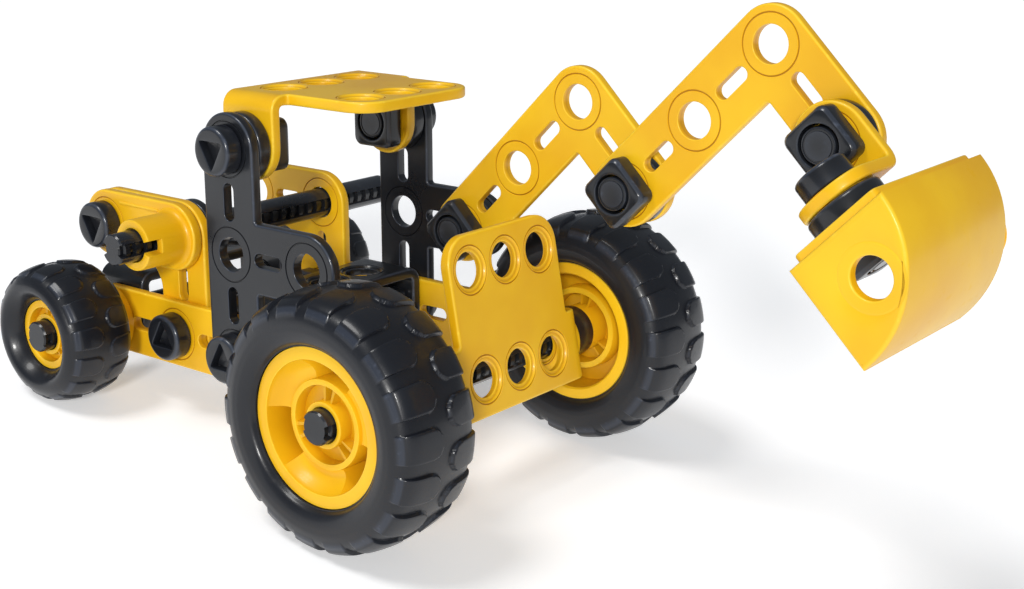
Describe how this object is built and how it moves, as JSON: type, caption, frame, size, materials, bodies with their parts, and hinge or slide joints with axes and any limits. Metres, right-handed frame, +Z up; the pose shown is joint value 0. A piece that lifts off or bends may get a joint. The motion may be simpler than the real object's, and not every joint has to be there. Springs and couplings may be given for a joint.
{
  "type": "toy backhoe loader",
  "caption": "Toy backhoe loader bolted up from punched plastic strips, folded plates, nuts and bolts, with a jointed digging arm, a swivelling bucket and wheels on through axles.",
  "frame": {"origin": "middle of the footprint box, on the ground plane that all four wheels stand on", "axes": "+X from the small front wheels towards the digging arm and bucket, +Y across, towards the side that carries the arm, +Z up"},
  "size_m": [0.2294, 0.1152, 0.1242],
  "materials": {
    "yellow_plastic": "glossy moulded yellow plastic",
    "black_plastic": "satin charcoal moulded plastic",
    "tyre": "satin charcoal moulded tyre"
  },
  "bodies": {
    "boom": {"boom": "yellow_plastic", "stick_pivot_bolt": "black_plastic", "stick_pivot_nut": "black_plastic", "stick_spacer": "black_plastic"},
    "bucket": {"bucket": "yellow_plastic"},
    "chassis": {"boom_pivot_bolt": "black_plastic", "boom_pivot_nut": "black_plastic", "boom_spacer": "black_plastic", "front_bracket": "black_plastic", "left_beam": "yellow_plastic", "left_cab_bolt": "black_plastic", "left_cab_nut": "black_plastic", "left_cab_plate": "black_plastic", "left_hood_pivot_bolt": "black_plastic", "left_hood_pivot_nut": "black_plastic", "left_roof_bolt": "black_plastic", "left_roof_nut": "black_plastic", "left_roof_spacer": "black_plastic", "right_beam": "yellow_plastic", "right_cab_bolt": "black_plastic", "right_cab_nut": "black_plastic", "right_cab_plate": "black_plastic", "right_hood_pivot_bolt": "black_plastic", "right_hood_pivot_nut": "black_plastic", "right_roof_bolt": "black_plastic", "right_roof_nut": "black_plastic", "right_roof_spacer": "black_plastic", "seat_bracket": "black_plastic"},
    "front_wheels": {"front_axle": "black_plastic", "left_front_rim": "yellow_plastic", "left_front_tyre": "tyre", "right_front_rim": "yellow_plastic", "right_front_tyre": "tyre"},
    "hood": {"axle_collar": "black_plastic", "cross_axle": "black_plastic", "lamp_bolt": "black_plastic", "lamp_bracket": "yellow_plastic", "lamp_nut": "black_plastic", "left_hood_plate": "yellow_plastic", "right_hood_plate": "yellow_plastic"},
    "bucket_link": {"bucket_link": "yellow_plastic", "swivel_bolt": "black_plastic", "swivel_nut": "black_plastic", "swivel_spacer": "black_plastic"},
    "rear_plate": {"rear_plate": "yellow_plastic"},
    "rear_wheels": {"left_rear_collar": "black_plastic", "left_rear_rim": "yellow_plastic", "left_rear_tyre": "tyre", "rear_axle": "black_plastic", "right_rear_collar": "black_plastic", "right_rear_rim": "yellow_plastic", "right_rear_tyre": "tyre"},
    "roof": {"roof": "yellow_plastic"},
    "stick": {"bucket_tilt_bolt": "black_plastic", "bucket_tilt_nut": "black_plastic", "stick": "yellow_plastic", "tilt_spacer": "black_plastic"}
  },
  "joints": [
    {"name": "hood_tilt", "type": "hinge", "parent": "chassis", "child": "hood", "pos_m": [-0.07163, 0, 0.02073], "axis": [0, 1, 0], "range_deg": [-10, 22]},
    {"name": "roof_tilt", "type": "hinge", "parent": "chassis", "child": "roof", "pos_m": [-0.05225, 0, 0.07411], "axis": [0, 1, 0], "range_deg": [-90, 45]},
    {"name": "rear_plate_tilt", "type": "hinge", "parent": "chassis", "child": "rear_plate", "pos_m": [0.00406, 0, 0.0295], "axis": [0, 1, 0], "range_deg": [-30, 35]},
    {"name": "boom_swing", "type": "hinge", "parent": "chassis", "child": "boom", "pos_m": [-0.0241, 0, 0.05181], "axis": [0, 1, 0], "range_deg": [-45, 40]},
    {"name": "stick_swing", "type": "hinge", "parent": "boom", "child": "stick", "pos_m": [0.02736, 0, 0.07585], "axis": [0, 1, 0], "range_deg": [-60, 60]},
    {"name": "bucket_tilt", "type": "hinge", "parent": "stick", "child": "bucket_link", "pos_m": [0.07881, 0, 0.0999], "axis": [0, 1, 0], "range_deg": [-75, 60]},
    {"name": "bucket_swivel", "type": "hinge", "parent": "bucket_link", "child": "bucket", "pos_m": [0.09308, -0.00015, 0.0886], "axis": [-0.7838, 0, 0.621], "continuous": true},
    {"name": "front_wheels_spin", "type": "hinge", "parent": "chassis", "child": "front_wheels", "pos_m": [-0.09686, 0, 0.0178], "axis": [0, 1, 0], "continuous": true},
    {"name": "rear_wheels_spin", "type": "hinge", "parent": "chassis", "child": "rear_wheels", "pos_m": [0.00406, 0, 0.0295], "axis": [0, 1, 0], "continuous": true}
  ]
}
